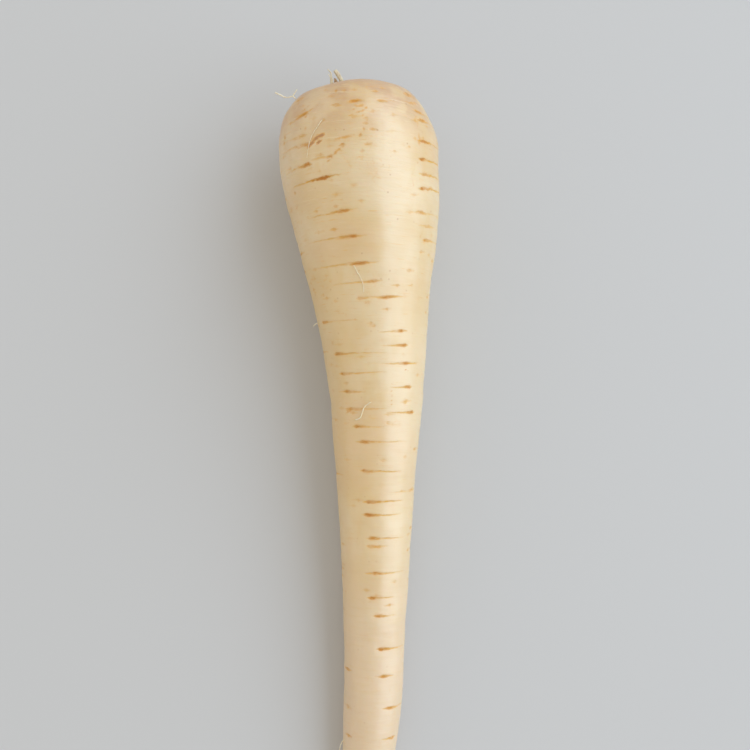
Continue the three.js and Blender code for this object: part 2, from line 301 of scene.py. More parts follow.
# Ochre and brownish stains of the skin: (station, angle, half length along the root, half width round
# it, millimetres that it leans along the root for each millimetre round it, strength).
STAINS = [
    (23.8, 123.5, 0.6, 1.9, 0.5, 1.8), (22.3, 119, 0.5, 2.4, 0.5, 1.7), (21.6, 114, 0.7, 0.8, 0.2, 1.8),
    (23.7, 117, 0.5, 1.4, 0.5, 1.6), (22.4, 120, 1.7, 3.6, 0.4, 0.6), (12.9, 133, 0.7, 5, 0.3, 1.15),
    (13.4, 130, 0.6, 2.2, -0.5, 0.95), (10.6, 131, 0.7, 2.6, 0.45, 0.7), (5.5, 144, 0.8, 4, 0.1, 0.6),
    (11.6, 93, 0.6, 1.8, -0.9, 0.9), (13.2, 90, 0.6, 2.2, 0.7, 0.95), (13, 84, 0.7, 1.8, -0.6, 0.85),
    (14.6, 87, 0.6, 2.2, 0.3, 0.8), (16, 94, 0.5, 1.8, 0.8, 0.75), (16.4, 85, 0.6, 1.2, -0.3, 0.8),
    (18.2, 84, 0.8, 0.9, 0, 0.75), (5.5, 38, 1.5, 5, 0, 0.85), (9, 40, 1, 4, 0.1, 0.8),
    (7.2, 108, 1, 4.6, -0.1, 0.45), (8.6, 93, 0.8, 3.8, 0.2, 0.35), (10.5, 91, 0.8, 2.8, 0.2, 1.1),
    (23.6, 99, 0.7, 4.6, 0.1, 0.7), (27.9, 104.5, 0.6, 2.6, 0.7, 1), (31, 113, 0.5, 3, 0.4, 0.7),
    (46.6, 112, 0.9, 1.9, -0.1, 0.75), (44.7, 106, 0.6, 1.4, 0, 0.5), (24.2, 42, 2.8, 1.1, 0, 0.95),
    (16, 42, 4, 1.2, 0, 0.65), (33.4, 46, 0.9, 1.4, 0, 0.6), (41.5, 52, 1.8, 1.2, 0, 0.65),
    (58.2, 42, 1.6, 1.2, 0.3, 0.55), (106.4, 53.5, 0.3, 1.9, -0.6, 0.85),
    (190.5, 152, 2, 0.3, 0, 0.9), (61, 133, 3, 0.8, 0.2, 0.42),
    (64.2, 120, 0.7, 4, -0.1, 0.4), (81.5, 95, 2, 3.4, 0, 0.45), (80.5, 131, 1.8, 0.7, 0, 0.5),
    (84.2, 122, 0.7, 3, -0.4, 0.5), (87.5, 107, 0.7, 2.6, -0.5, 0.5), (77.8, 94, 0.8, 1.6, 0.3, 0.5),
    (95, 142, 1.8, 1.6, 0.6, 0.4), (94, 130, 1.4, 1, 0.6, 0.4), (121.2, 127, 1.2, 3.4, 0.1, 0.65),
    (126.5, 128, 1.6, 0.9, 0, 0.4), (192.6, 97, 0.9, 1.4, 0, 0.5),
    (244.5, 143, 1, 2, 0, 0.45), (43, 150, 1.2, 1.4, 0, 0.5), (38, 152, 1, 1.6, 0.3, 0.5),
    (150.9, 50, 0.8, 3, 0, 0.35),
    *[(station, 72, 0.35, 0.5, 0, 0.75) for station in (111.2, 112.6, 113.8, 115.6, 117.4, 118.9)],
    *[(station, 50, 0.35, 0.5, 0, 0.7) for station in (113.4, 115, 116.8, 118.6)],
]

# Sizes of hidden marks, and how much their steps are stretched: stations, and the values there.
HIDDEN_SIZES = [0, 60, 250, 340], [7, 8, 5, 1.6]
HIDDEN_STEPS = [0, 40, 350], [0.7, 1, 1.1]

SMALL_DASHES = 320
FIRST_DASH, DASH_SPAN = 4, 190  # their first station, and how far down the root they go
DASH_CROWDING = 1.8  # the larger, the more of them lie near the crown
PORE_LAYERS = 4
MARK_HALF_HEIGHT = 1.1  # a mark shows no further than this from its line
MARK_MARGIN = 1.7  # its coordinates are true up to this far from its line
SIDE_MARGIN = 4.0  # and up to this far past its ends
MARK_SLOPE = 0.02  # the most that a mark runs down the root for each millimetre round it
GROOVE_DEPTH, GROOVE_WIDTH = 0.1, 0.4
DIP_DEPTH, DIP_WIDTH = 0.11, 1.7


def hidden_pores():
    """Pore marks of the hidden rows, at random steps of 3.5 to 11 mm, half of them one-sided."""
    random = np.random.default_rng(11)
    pores = []
    for angle, first, last in HIDDEN_ROWS:
        station = first + random.uniform(0, 4)
        while station < last:
            size = np.interp(station, *HIDDEN_SIZES)
            left, right = size * random.uniform(0.25, 1.6, 2)
            if random.uniform() < 0.5:
                left *= 0.2
            wander = random.uniform(-9, 9)
            strength = random.uniform(0.45, 0.95)
            eye = random.uniform(0.16, 0.26) * size
            pores.append((station, angle + wander, left, right, strength, eye))
            station += random.uniform(5, 10) * np.interp(station, *HIDDEN_STEPS)
    return pores


def small_dashes():
    """Short faint marks all over, most of them near the crown."""
    random = np.random.default_rng(23)
    dashes = []
    for _ in range(SMALL_DASHES):
        station = FIRST_DASH + DASH_SPAN * random.uniform() ** DASH_CROWDING
        angle = random.uniform(0, 360)
        left, right = random.uniform(0.8, 3.4, 2)
        strength = random.uniform(0.15, 0.52)
        eye = random.uniform(0.3, 0.7)
        dashes.append((station, angle, left, right, strength, eye))
    return dashes


def arc_from(angle, degrees, radius):
    """Distance round the skin from the given degrees, positive towards rising angles."""
    turn = (angle - math.radians(degrees) + np.pi) % (2 * np.pi) - np.pi
    return turn * radius


def mark_on_skin(mark, slope, station, angle, radius):
    """
    One mark as skin points see it: distance round from its eye, distance from its line, share of its
    reach, and depth. The depth is strength * fade * (groove + dip), where the groove, 0.1 (0.5 + core)
    exp(-(off / 0.4)^2), is fine and deepest at the eye, and the dip, 0.11 exp(-(off / 1.7)^2), is wide.
    """
    down, degrees, left, right, strength, eye = mark
    arc = arc_from(angle, degrees, np.maximum(radius, 0.5))
    off = station - down - slope * arc
    share = np.where(arc > 0, arc / left, -arc / right)
    fade = np.clip(1 - share, 0, 1) ** 0.5
    core = np.exp(-((arc / (1.4 * eye)) ** 2))
    groove = GROOVE_DEPTH * (0.5 + core) * np.exp(-((off / GROOVE_WIDTH) ** 2))
    dip = DIP_DEPTH * np.exp(-((off / DIP_WIDTH) ** 2))
    return arc, off, share, strength * fade * (groove + dip)


def pore_fields(station, angle, radius, outside):
    """
    Where every skin point lies within the pore marks. Each layer holds marks that keep clear of each
    other, as two fields of three numbers: distance round from the eye, distance from the mark's line and
    strength; then reach each way and the eye's half length. A mark that is clear in no layer gets no
    colour. A third result is the depth of all the marks together.
    """
    shape = station.shape
    near = [np.full((*shape, 3), (9.0, 9.0, 0.0)) for _ in range(PORE_LAYERS)]
    size = [np.full((*shape, 3), (1.0, 1.0, 1.0)) for _ in range(PORE_LAYERS)]
    taken = [np.zeros(shape, bool) for _ in range(PORE_LAYERS)]
    depth = np.zeros(shape)
    random = np.random.default_rng(5)
    for mark in PORES + hidden_pores() + small_dashes():
        down, _, left, right, strength, eye = mark
        slope = random.uniform(-MARK_SLOPE, MARK_SLOPE)
        reach = SIDE_MARGIN + abs(slope) * (left + right)
        rows = np.nonzero((np.abs(station[:, 0] - down) < reach) & outside[:, 0])[0]
        if not len(rows):
            continue
        band = slice(rows[0], rows[-1] + 1)
        arc, off, share, dent = mark_on_skin(mark, slope, station[band], angle[band], radius[band])
        depth[band] += dent
        true = (np.abs(off) < MARK_MARGIN) & (arc < left + SIDE_MARGIN) & (arc > -right - SIDE_MARGIN)
        clear = [i for i in range(PORE_LAYERS) if not (taken[i][band] & true).any()]
        if not clear:
            continue
        layer = clear[0]
        shown = strength * ((np.abs(off) < MARK_HALF_HEIGHT) & (share < 1.2))
        taken[layer][band] |= true
        near[layer][band] = np.where(true[..., None], np.stack([arc, off, shown], -1), near[layer][band])
        size[layer][band] = np.where(true[..., None], (left, right, eye), size[layer][band])
    return near, size, depth


def stain_field(station, angle, radius, outside):
    """
    How strongly the skin is stained: the largest of the stains, each strength * exp(-u^2 - v^2) with u
    the leaning distance along the root and v the distance round it, both as shares of its half sizes.
    """
    field = np.zeros(station.shape)
    for down, degrees, along, round_, lean, strength in STAINS:
        arc = arc_from(angle, degrees, radius)
        off = station - down - lean * arc
        fall = np.exp(-((off / along) ** 2) - (arc / round_) ** 2)
        field = np.maximum(field, strength * fall * outside)
    return field


# --- The taproot ---

GOLDEN_ANGLE = math.radians(137.5)
LEAF_BASES = 22
FIRST_BASE_RADIUS = 4.2
LAST_BASE_RADIUS = 15.6
SCAR_HEIGHT = 0.8
SCAR_INSIDE, SCAR_OUTSIDE = 0.34, 0.85  # how fast a torn edge falls off towards the middle and outwards

RIM_SWELL_ANGLE = 78  # the rim stands a little higher here
RIM_SWELL_WIDTH = 34
RIM_SWELL_HEIGHT = 0.4
RIM_SWELL_REACH = 9
SHOULDER_LEAN = 0.6  # how far the upper shoulder leans towards -X
SHOULDER_STATION = 9

# Layers of the skin's relief: (seed, height, length of a lump along the root, lumps round it).
SWELLS = [(1, 0.28, 14, 9), (2, 0.13, 6, 14)]
WRINKLES = [(3, 0.035, 1.3, 16), (4, 0.03, 2.3, 9)]
HOLLOW_FIBRES = [(6, 0.12, 1.6, 60)]
RIM_CREASES = [(8, 0.09, 0.9, 11)]
SLENDER_RADIUS = 12  # below this radius the relief fades, and near the poles it ends
POLE_RADIUS = 3
HOLLOW_FADE, CENTRE_FADE = 3, 5  # fibres fade this near the rim, and this near the growing point
CREASE_REACH = 5


def leaf_scars(radius, angle):
    """
    The torn edges of old leaf bases in the hollow, 0 to 1: crescents that follow each other round the
    growing point by the golden angle. Each is exp(-(d / 0.85)^2) outside its arc and exp(-(d / 0.34)^2)
    inside it, times a smooth window round its middle, and its arc bends inwards at its ends.
    """
    random = np.random.default_rng(17)
    edges = np.zeros(radius.shape)
    for i in range(LEAF_BASES):
        share = (i / (LEAF_BASES - 1)) ** 0.75
        middle = FIRST_BASE_RADIUS + (LAST_BASE_RADIUS - FIRST_BASE_RADIUS) * share
        middle += random.uniform(-0.3, 0.3)
        span = math.radians(random.uniform(52, 74)) * np.interp(share, [0, 1], [1.1, 0.62])
        height = random.uniform(0.55, 1.0)
        turn = (angle - i * GOLDEN_ANGLE + np.pi) % (2 * np.pi) - np.pi
        bend = 1 - 0.16 * (turn / span) ** 2
        d = radius - middle * bend
        window = np.clip(1 - (turn / span) ** 2, 0, 1)
        ridge = np.exp(-((d / np.where(d > 0, SCAR_OUTSIDE, SCAR_INSIDE)) ** 2))
        edges = np.maximum(edges, height * ridge * window)
    return edges


def rim_swell(station, angle, radius, rim_radius):
    """A low broad rise of the rim: height * exp(-(turn / 34)^2 - (distance from the rim / 9)^2)."""
    turn = (np.degrees(angle) - RIM_SWELL_ANGLE + 180) % 360 - 180
    beyond = np.hypot(station, radius - rim_radius)
    return RIM_SWELL_HEIGHT * np.exp(-((turn / RIM_SWELL_WIDTH) ** 2) - (beyond / RIM_SWELL_REACH) ** 2)


def shoulder_lean(station, angle, outside):
    """Swells the upper shoulder on its -X side: -0.6 cos(angle) exp(-((station - 9) / 9)^2)."""
    near = np.exp(-(((station - SHOULDER_STATION) / SHOULDER_STATION) ** 2))
    return np.where(outside, -SHOULDER_LEAN * np.cos(angle) * near, 0)


def skin_grid():
    """Station, angle and radius of the taproot's grid, what lies outside its hollow, and its rim's radius."""
    stations, radii, rim = root_profile(RINGS)
    angles = np.linspace(0, 2 * np.pi, SIDES, endpoint=False)
    station, angle = np.meshgrid(stations, angles, indexing="ij")
    radius = np.repeat(radii[:, None], SIDES, axis=1)
    outside = np.repeat((np.arange(RINGS) >= rim)[:, None], SIDES, axis=1)
    return station, angle, radius, outside, radii[rim]


def taproot():
    """
    The skin: the root's sections at evenly spaced stations of its outline, moved along their normals by
    long swells, fine ring wrinkles, the dips of the pore marks and the leaf scars in the hollow, and
    pressed flat where it bears on the table.
    """
    station, angle, radius, outside, rim_radius = skin_grid()
    points = root_section(station, angle, radius)

    down = np.where(outside, station, radius - rim_radius)
    slender = np.clip(radius / SLENDER_RADIUS, 0.15, 1)
    off_poles = np.clip(radius / POLE_RADIUS, 0, 1)
    near, size, depth = pore_fields(station, angle, radius, outside)
    scars = np.where(outside, 0, leaf_scars(radius, angle))
    inside = np.clip(-down / HOLLOW_FADE, 0, 1) * np.clip(radius / CENTRE_FADE, 0, 1)
    at_rim = np.exp(-((down / CREASE_REACH) ** 2))
    relief = layered(SWELLS + WRINKLES, down, angle) * slender * off_poles - depth
    relief += SCAR_HEIGHT * scars + layered(HOLLOW_FIBRES, down, angle) * inside
    relief += layered(RIM_CREASES, down, angle) * at_rim
    relief += rim_swell(station, angle, radius, rim_radius) + shoulder_lean(station, angle, outside)
    points = points + grid_normals(points) * relief[..., None]
    points[..., 2] = np.maximum(points[..., 2], 0)

    mesh = closed_mesh("parsnip_taproot", points + ROOT_SHIFT)
    attach(mesh, "down_from_rim", down)
    attach(mesh, "stain", stain_field(station, angle, radius, outside))
    attach(mesh, "leaf_scar", scars)
    for layer in range(PORE_LAYERS):
        attach(mesh, f"pore_place_{layer + 1}", near[layer])
        attach(mesh, f"pore_size_{layer + 1}", size[layer])
    return mesh


def root_shift():
    """From the root's own coordinates to the frame's: its solid's box gives where its middle belongs."""
    station, angle, radius, _, _ = skin_grid()
    points = root_section(station, angle, radius).reshape(-1, 3)
    own_middle = (points.min(0) + points.max(0)) / 2
    low, high = (np.array(corner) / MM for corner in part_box("taproot"))
    moved = (low + high) / 2 - own_middle
    return np.array([moved[0], moved[1], 0.0])


ROOT_SHIFT = root_shift()

# --- Strips and rootlets ---


def near_crown(places):
    """Points near the crown from (sideways, up, out beyond the rim), measured from the rim's centre."""
    centre, side, lift, along = root_axis(0.0)
    return [centre + side * sideways + lift * upwards - along * out for sideways, upwards, out in places]


def skin_point(place):
    """A point over the skin from [station, degrees, height above it]."""
    station, degrees, height = place
    stations, radii, rim = root_profile(RINGS)
    radius = np.interp(station, stations[rim:], radii[rim:]) + height
    return root_section(np.float64(station), np.radians(degrees), radius)


def capped(name, body):
    """A tube's grid closed at both ends, each with one ring two fifths of the way to its middle."""
    sides = body.shape[1]
    start = np.repeat(body[:1].mean(1, keepdims=True), sides, axis=1)
    end = np.repeat(body[-1:].mean(1, keepdims=True), sides, axis=1)
    inner_start = 0.6 * body[:1] + 0.4 * start
    inner_end = 0.6 * body[-1:] + 0.4 * end
    return closed_mesh(name, np.concatenate([start, inner_start, body, inner_end, end]) + ROOT_SHIFT)


def hair(name, route, foot, tip, seed):
    """A round hair along a smooth route, whose radius runs from foot to tip with slight swellings."""
    rings, sides = 60, 10
    share = np.linspace(0, 1, rings)
    centre, slope = smooth_curve(route, share * (len(route) - 1))
    side, lift = cross_axes(slope)
    angle = np.linspace(0, 2 * np.pi, sides, endpoint=False)
    swelling = 1 + 0.14 * np.sin(17 * share + seed) * np.sin(41 * share + 2 * seed)
    radius = ((foot + (tip - foot) * share) * swelling)[:, None]
    x, y = radius * np.cos(angle), radius * np.sin(angle)
    return capped(name, centre[:, None] + x[..., None] * side[:, None] + y[..., None] * lift[:, None])


def dried_strip(name, route, foot, tip, flatness, cup, torn, seed, ribs=5):
    """
    A tapering dried stalk along a smooth route. Its section is (x, flatness * r sin(a) + cup * x * x)
    with x = r cos(a); the radius r runs from foot to tip, with low waists, and carries ribs, the largest
    of them 0.1 cos(ribs * a + wander). Near its torn end the wall thins, and each fibre has its own length.
    """
    random = np.random.default_rng(seed)
    rings, sides = 64, 48
    share = np.linspace(0, 1, rings)[:, None]
    centre, slope = smooth_curve(route, share[:, 0] * (len(route) - 1))
    side, lift = cross_axes(slope)
    angle = np.linspace(0, 2 * np.pi, sides, endpoint=False)[None]
    wander = random.uniform(0, 6) + 1.2 * np.sin(3 * share + seed)
    ridges = 1 + 0.1 * np.cos(ribs * angle + wander) + 0.04 * np.cos(2.6 * ribs * angle + 3 * wander)
    waist = 1 + 0.05 * np.sin(8 * share + seed) + 0.03 * np.sin(19 * share + 2 * seed)
    radius = (foot + (tip - foot) * share) * waist * ridges
    x = radius * np.cos(angle)
    thin = 1 - 0.55 * np.clip((share - 0.7) / 0.3, 0, 1)
    y = flatness * thin * radius * np.sin(angle) + cup * x * x
    body = centre[:, None] + x[..., None] * side[:, None] + y[..., None] * lift[:, None]
    lengths = random.uniform(-1, 1, sides // 3)
    fibre = np.interp(np.arange(sides), np.arange(0, sides, 3), lengths, period=sides)
    body += (torn * fibre * share**5)[..., None] * unit(slope)[:, None]
    return capped(name, body)


def wandering(points, amount, seed):
    """A route through points with small kinks added between them, as a dry hair has."""
    random = np.random.default_rng(seed)
    fine, _ = smooth_curve(points, np.linspace(0, len(points) - 1, 3 * len(points)))
    kinks = random.uniform(-amount, amount, fine.shape)
    kinks[0] = 0
    return fine + kinks


def joined(name, *meshes):
    """Several closed meshes as one mesh, for a piece whose branches grow into each other."""
    whole = bmesh.new()
    for mesh in meshes:
        whole.from_mesh(mesh)
    mesh = bpy.data.meshes.new(name)
    whole.to_mesh(mesh)
    whole.free()
    mesh.polygons.foreach_set("use_smooth", np.ones(len(mesh.polygons), bool))
    return mesh


# Routes as near_crown takes them, and stumps as (sideways, up, height, how much they lean outwards).
STRAP_ROUTE = [
    (-3.4, 6.0, -3.3), (-4.3, 7.3, -0.2), (-4.8, 8.1, 2.3), (-6.0, 8.5, 4.9), (-7.2, 8.8, 6.8),
]
FORK_STEM = [
    (-6.6, 6.2, -1.7), (-8.0, 7.5, 0.4), (-8.7, 8.2, 2.1), (-8.8, 8.2, 3.6), (-8.9, 8.4, 4.8),
]
FORK_LONG_PRONG = [(-8.9, 8.3, 4.2), (-8.8, 8.6, 5.8), (-9.3, 8.7, 6.6), (-10.0, 8.7, 7.4)]
FORK_SHORT_PRONG = [(-9.0, 8.3, 4.0), (-9.3, 8.4, 4.9), (-9.9, 8.5, 5.7)]
FLAP_ROUTE = [(-6.3, 8.2, -0.6), (-6.7, 9.2, 0.6), (-7.1, 9.9, 2.0), (-7.4, 10.3, 3.2)]
STUMPS = [(4.4, 3.6, 3.4, 0.25), (3.2, -4.6, 2.8, 0.2), (-4.6, -3.4, 3.8, 0.12)]
STUMP_FLOOR = -3.6
STUMP_FIBRES = 4

SHOULDER_FORK = (-23.4, 10.7, -2.5)
SHOULDER_UPPER = [(-22.6, 10.9, -3.6), SHOULDER_FORK, (-22.7, 10.8, -1.4), (-21.8, 10.9, -0.2)]
SHOULDER_OUTER = [
    SHOULDER_FORK, (-25.3, 10.7, -2.9), (-26.8, 10.7, -2.7), (-28.1, 10.7, -1.9), (-30.1, 10.7, -0.9),
]

# Rootlets on the skin: the node that each stands for, its places as (station, degrees, height), and its
# radius at the foot and at the tip.
SKIN_ROOTLETS = {
    "rootlet_flank": (
        [(16.5, 114, 0.3), (18.6, 118, 0.16), (21.6, 123, 0.12), (25, 126, 0.14), (28, 128, 0.2)],
        0.15, 0.07,
    ),
    "rootlet_upper": (
        [(68, 103.5, 0.15), (70.5, 101, 0.12), (72.7, 98.5, 0.16), (75.2, 97, 0.12), (77.7, 97, 0.1)],
        0.13, 0.08,
    ),
    "rootlet_middle": (
        [(124.3, 117, 0.2), (123.4, 110, 0.35), (120.1, 105.5, 0.45), (118.6, 101, 0.5), (117.7, 96, 0.9)],
        0.2, 0.13,
    ),
    "rootlet_side": ([(86.6, 166, 0.0), (86.9, 171, 0.8), (87.6, 174, 1.9)], 0.22, 0.12),
    "rootlet_lower": ([(247.5, 162, 0.0), (249.6, 168, 0.9), (253, 172, 1.6)], 0.2, 0.12),
}


def stump_fibre(route, seed):
    """A loose fibre that starts within a stump and leans out of its torn end."""
    random = np.random.default_rng(seed)
    foot = route[0] + random.uniform(-0.9, 0.9, 3)
    tip = route[-1] + random.uniform(-1.6, 1.6, 3) + 0.35 * (route[-1] - route[0])
    return hair("fibre", [foot, (foot + tip) / 2 + random.uniform(-0.3, 0.3, 3), tip], 0.2, 0.09, seed)


def leaf_stalks(material, base_material):
    """The dried leaf stalks and stumps in the hollow, each in the place of its solid."""
    strap = dried_strip(
        "dried_leaf_stalk_strap", near_crown(STRAP_ROUTE), 0.85, 0.72, 0.45, 0.25, torn=0.25, seed=21
    )
    place_piece(strap, material, "leaf_stalk_strap")
    prong = {"flatness": 0.8, "cup": 0.0, "ribs": 3, "torn": 0.2}
    forked = joined(
        "dried_leaf_stalk_forked",
        dried_strip("stem", near_crown(FORK_STEM), 0.74, 0.42, 0.45, 0.25, torn=0.3, seed=22),
        dried_strip("long_prong", near_crown(FORK_LONG_PRONG), 0.3, 0.17, **prong, seed=23),
        dried_strip("short_prong", near_crown(FORK_SHORT_PRONG), 0.28, 0.12, **prong, seed=24),
    )
    place_piece(forked, material, "leaf_stalk_forked")
    flap = dried_strip(
        "dried_leaf_stalk_flap", near_crown(FLAP_ROUTE), 1.25, 0.35, 0.3, 0.1, torn=0.45, seed=25
    )
    place_piece(flap, base_material, "leaf_stalk_flap")
    for i, (sideways, upwards, height, lean) in enumerate(STUMPS, start=1):
        route = near_crown(
            (sideways * (1 + lean * t), upwards * (1 + lean * t), STUMP_FLOOR + height * t)
            for t in (0, 0.5, 1)
        )
        sheath = dried_strip("sheath", route, 2.0, 1.5, 0.4, 0.16, ribs=7, torn=1.2, seed=25 + i)
        fibres = [stump_fibre(route, 60 + 5 * i + j) for j in range(STUMP_FIBRES)]
        stump = joined(f"dried_leaf_stump_{i}", sheath, *fibres)
        place_piece(stump, base_material, f"leaf_stalk_stump_{i}")


def rootlets(material):
    """The fine rootlets, each in the place of its solid."""
    shoulder = joined(
        "hair_root_shoulder",
        hair("upper", near_crown(SHOULDER_UPPER), 0.26, 0.18, seed=31),
        hair("outer", near_crown(SHOULDER_OUTER), 0.2, 0.32, seed=32),
    )
    place_piece(shoulder, material, "rootlet_shoulder")
    for i, (node, (places, foot, tip)) in enumerate(SKIN_ROOTLETS.items()):
        route = wandering([skin_point(place) for place in places], 0.05, 40 + i)
        mesh = hair(node.replace("rootlet", "hair_root"), route, foot, tip, seed=40 + i)
        place_piece(mesh, material, node)


# --- Materials ---


class Finish:
    """
    A node-based material on the Principled shader, with short calls for the nodes that it needs. Its tone
    is painted on in layers. Patterns lie in the object's own coordinates, in metres.
    """

    def __init__(self, name, tone):
        self.material = bpy.data.materials.new(name)
        self.material.use_nodes = True
        self.tree = self.material.node_tree
        self.shader = self.tree.nodes["Principled BSDF"]
        self.tone = tone

    def feed(self, socket, value):
        """Links a socket to another, or sets its value."""
        if isinstance(value, bpy.types.NodeSocket):
            self.tree.links.new(value, socket)
        else:
            socket.default_value = value

    def give(self, name, value):
        """Feeds the shader's socket of that name."""
        self.feed(self.shader.inputs[name], value)

    def node(self, kind, **inputs):
        """A new node, with its inputs fed by name."""
        node = self.tree.nodes.new("ShaderNode" + kind)
        for name, value in inputs.items():
            self.feed(node.inputs[name], value)
        return node

    def math(self, operation, a, b=0.0, c=0.0, clamp=False):
        """A Math node's result."""
        node = self.node("Math")
        node.operation = operation
        node.use_clamp = clamp
        for socket, value in zip(node.inputs, (a, b, c)):
            self.feed(socket, value)
        return node.outputs[0]

    def times(self, first, *others):
        """The product of several values."""
        for other in others:
            first = self.math("MULTIPLY", first, other)
        return first

    def line(self, value, slope, start):
        """slope * value + start."""
        return self.math("MULTIPLY_ADD", value, slope, start)

    def centred(self, value):
        """A value less a half, so that noise swings about zero."""
        return self.math("SUBTRACT", value, 0.5)

    def ramp(self, value, low, high, start=0.0, end=1.0):
        """A smooth step of a value from start at low to end at high."""
        node = self.node("MapRange")
        node.interpolation_type = "SMOOTHSTEP"
        for socket, number in zip(node.inputs, (value, low, high, start, end)):
            self.feed(socket, number)
        return node.outputs[0]

    def blend(self, share, a, b):
        """Colour a turned into colour b by a share."""
        node = self.node("Mix")
        node.data_type = "RGBA"
        for name, value in (("Factor", share), ("A", a), ("B", b)):
            self.feed(node.inputs[name], value)
        return node.outputs["Result"]

    def paint(self, share, tint):
        """Lays a colour over the tone by a share."""
        self.tone = self.blend(share, self.tone, tint)

    def place(self, stretch=(1, 1, 1)):
        """The object's own coordinates, stretched."""
        source = self.node("TexCoord").outputs["Object"]
        return self.node("Mapping", Vector=source, Scale=stretch).outputs["Vector"]

    def sideways(self):
        """How far a point lies to the side."""
        return self.node("SeparateXYZ", Vector=self.place()).outputs["X"]

    def noise(self, scale, detail, rough, stretch=(1, 1, 1)):
        """Fractal noise from 0 to 1."""
        where = self.place(stretch)
        return self.node("TexNoise", Vector=where, Scale=scale, Detail=detail, Roughness=rough).outputs["Fac"]

    def cells(self, scale):
        """Distance to the nearest of scattered points, and that point's random number."""
        node = self.node("TexVoronoi", Vector=self.place(), Scale=scale)
        return node.outputs["Distance"], node.outputs["Color"]

    def field(self, name):
        """A mesh attribute's number and its three numbers."""
        node = self.node("Attribute")
        node.attribute_name = name
        return node.outputs["Fac"], self.node("SeparateXYZ", Vector=node.outputs["Vector"]).outputs

    def bump(self, height, depth, under=None):
        """A bump of the given depth in metres, over another one."""
        node = self.node("Bump", Height=height, Distance=depth, Strength=1.0)
        if under is not None:
            self.feed(node.inputs["Normal"], under)
        return node.outputs["Normal"]


def colour(red, green, blue):
    """A linear colour with full alpha."""
    return (red, green, blue, 1.0)


CREAM = colour(0.77, 0.57, 0.298)
PALE_CREAM = colour(0.82, 0.655, 0.415)
YELLOW_CREAM = colour(0.75, 0.535, 0.225)
PINK_CREAM = colour(0.77, 0.55, 0.31)
TAIL_CREAM = colour(0.78, 0.6, 0.405)
CROWN_TAN = colour(0.635, 0.4, 0.215)
OCHRE = colour(0.77, 0.4, 0.022)
EYE_BROWN = colour(0.56, 0.205, 0.008)
STAIN_OCHRE = colour(0.71, 0.365, 0.075)
STAIN_BROWN = colour(0.45, 0.19, 0.055)
SPECK_BROWN = colour(0.5, 0.24, 0.06)
HOLLOW_BROWN = colour(0.225, 0.094, 0.022)
SCAR_TAN = colour(0.6, 0.38, 0.17)
STRAW, STRAW_SHADE = colour(0.8, 0.73, 0.55), colour(0.6, 0.5, 0.34)
BARK, BARK_SHADE = colour(0.52, 0.37, 0.23), colour(0.34, 0.21, 0.12)
FIBRE, FIBRE_SHADE = colour(0.9, 0.85, 0.68), colour(0.82, 0.72, 0.5)
FLOOR_GREY = colour(0.6, 0.615, 0.64)
WARM_AIR = colour(1.0, 0.935, 0.83)

SKIN_ROUGHNESS = 0.315

# Stations between which the zones of the skin fade in or out, in millimetres.
HOLLOW_EDGE, HOLLOW_BORDER, MATT_HOLLOW = (-3, 0), (-4.5, -0.5), (-3, 1)
RIM_LINE, RIM_ZONE, CROWN_ZONE = (0.5, 5), (1.5, 32), (30, 75)
SPECK_ZONE, HAIRLINE_ZONE = (25, 110), (40, 190)
FLANK_SHADE_START, FLANK_SHADE_END, FLANK_LIGHT_START = (45, 75), (135, 195), (70, 100)
TAIL_ZONE, DULL_ZONE = (150, 235), (140, 230)

# Depths of bumps, in metres.
LUMP_DEPTH = 0.0013
RIDGE_DEPTH = 0.00009
GRAIN_DEPTH = 0.00001
CRUMB_DEPTH = 0.0007
PIT_DEPTH = 0.00018
FIBRE_DEPTH = 0.0001


def pore_tones(skin, layer, grain, wobble):
    """
    How ochre, how dark and how glowing the marks of one layer are. A mark is a wedge: thick at its eye,
    which tapers further along the longer side, then a thin line that fades along each reach.
    """
    _, (arc, off, strength) = skin.field(f"pore_place_{layer}")
    _, (left, right, eye) = skin.field(f"pore_size_{layer}")
    leftward = skin.math("GREATER_THAN", arc, 0)
    reach = skin.line(leftward, skin.math("SUBTRACT", left, right), right)
    side_share = skin.math("DIVIDE", reach, skin.math("ADD", left, right))
    taper = skin.times(eye, skin.line(side_share, 3, 0.3))
    distance = skin.math("ABSOLUTE", arc)
    share = skin.math("DIVIDE", distance, reach)
    fade = skin.math("POWER", skin.math("SUBTRACT", 1, share, clamp=True), 0.55)
    core = skin.ramp(skin.math("DIVIDE", distance, taper), 0.1, 1.3, 1, 0)
    half = skin.times(skin.line(core, 0.27, 0.34), skin.line(fade, 0.5, 0.5))
    near = skin.math("DIVIDE", skin.math("ABSOLUTE", skin.math("ADD", off, wobble)), half)
    line = skin.ramp(near, 0.25, 1.5, 1, 0)
    halo = skin.ramp(near, 0.6, 3.2, 1, 0)
    shown = skin.times(strength, fade, grain)
    ochre = skin.times(line, shown)
    dark = skin.times(ochre, core, strength)
    glow = skin.times(halo, shown)
    return ochre, dark, glow


def skin_clouds(skin):
    """The skin's ground: cream with pale, yellow and pink clouds."""
    clouds = skin.noise(34, 3, 0.55)
    streaks = skin.noise(120, 3, 0.6, (1, 0.25, 1))
    pink = skin.noise(21, 2, 0.5, (1, 1.6, 1))
    skin.paint(skin.ramp(clouds, 0.4, 0.62), PALE_CREAM)
    skin.paint(skin.ramp(streaks, 0.5, 0.75, 0, 0.55), YELLOW_CREAM)
    skin.paint(skin.ramp(pink, 0.5, 0.66, 0, 0.7), PINK_CREAM)


